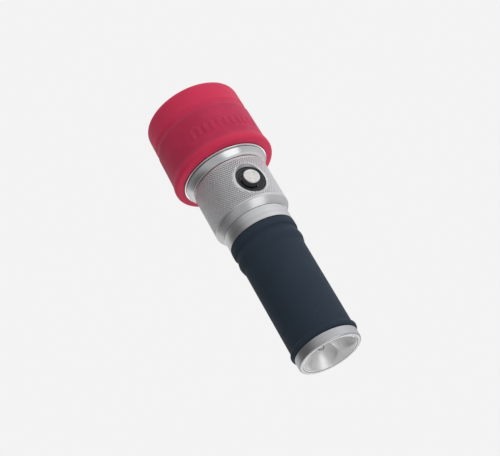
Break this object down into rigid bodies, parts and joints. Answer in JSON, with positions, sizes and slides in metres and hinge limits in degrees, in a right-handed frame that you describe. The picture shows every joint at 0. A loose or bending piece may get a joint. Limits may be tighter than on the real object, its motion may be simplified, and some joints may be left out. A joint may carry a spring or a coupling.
{
  "type": "traffic baton light",
  "caption": "Hand-held signal light: knurled aluminium torch with a red silicone diffuser boot over its head, thumb button, rubber grip and a tail lamp dish.",
  "frame": {"origin": "centre of the flat front face of the red boot, which the light stands on", "axes": "+Z along the light's axis from the front face to the tail; the thumb button faces -Y"},
  "size_m": [0.0464, 0.0464, 0.1312],
  "materials": {
    "red_silicone": "satin translucent silicone",
    "satin_aluminium": "satin anodised",
    "knurled_aluminium": "fine diamond knurl",
    "polished_aluminium": "polished",
    "reflector": "vacuum metallised",
    "grip_rubber": "matte moulded rubber",
    "seal_rubber": "smooth",
    "black_plastic": "gloss",
    "carrier_plastic": "matte moulded",
    "clear_plastic": "clear",
    "lamp_resin": "phosphor resin",
    "brass": "turned",
    "spring_steel": "nickel plated",
    "circuit_board": "solder mask",
    "cell_sleeve": "plain printed sleeve",
    "red_wire": "smooth",
    "black_wire": "smooth"
  },
  "bodies": {
    "boot": {"red_diffuser_boot": "red_silicone"},
    "torch": {"head_shell": "satin_aluminium", "front_bezel_ring": "satin_aluminium", "front_lens": "clear_plastic", "lens_o_ring": "seal_rubber", "main_reflector": "reflector", "main_led": "lamp_resin", "led_star_board": "satin_aluminium", "led_pill": "brass", "head_collar": "polished_aluminium", "head_o_ring": "seal_rubber", "led_lead_positive": "red_wire", "led_lead_negative": "black_wire", "switch_surround": "black_plastic", "switch_body": "black_plastic", "driver_board": "circuit_board", "driver_chip": "black_plastic", "switch_housing": "knurled_aluminium", "battery_tube": "satin_aluminium", "housing_o_ring": "seal_rubber", "grip_sleeve": "grip_rubber", "contact_board": "circuit_board", "front_contact_spring": "spring_steel", "carrier_front_plate": "carrier_plastic", "carrier_rear_plate": "carrier_plastic", "carrier_spine": "spring_steel", "carrier_front_contact": "brass", "carrier_rear_contact": "brass", "battery_cell_1": "cell_sleeve", "battery_cell_2": "cell_sleeve", "battery_cell_3": "cell_sleeve"},
    "button": {"button_cap": "polished_aluminium", "button_plunger": "black_plastic", "button_spring": "spring_steel"},
    "tail_light": {"tail_reflector": "reflector", "tail_led_1": "clear_plastic", "tail_led_2": "clear_plastic", "tail_led_3": "clear_plastic", "tail_led_board": "circuit_board", "tail_contact_spring": "spring_steel"},
    "tail_ring": {"tail_cap": "satin_aluminium", "tail_o_ring": "seal_rubber"}
  },
  "joints": [
    {"name": "boot_pull_off", "type": "slide", "parent": "boot", "child": "torch", "axis": [0, 0, 1], "range_m": [0, 0.036]},
    {"name": "button_press", "type": "slide", "parent": "torch", "child": "button", "axis": [0, 1, 0], "range_m": [0, 0.0012], "stiffness_N_per_m": 900, "springref_m": -0.001, "deforming": ["button_spring"]},
    {"name": "tail_back_off", "type": "slide", "parent": "torch", "child": "tail_light", "axis": [0, 0, 1], "range_m": [0, 0.0075]},
    {"name": "tail_cap_turn", "type": "hinge", "parent": "tail_light", "child": "tail_ring", "pos_m": [0, 0, 0.1288], "axis": [0, 0, 1], "range_deg": [0, 1801]}
  ],
  "couplings": [
    {"joint": "tail_cap_turn", "follows": "tail_back_off", "rad_per_m": 4188.8}
  ]
}
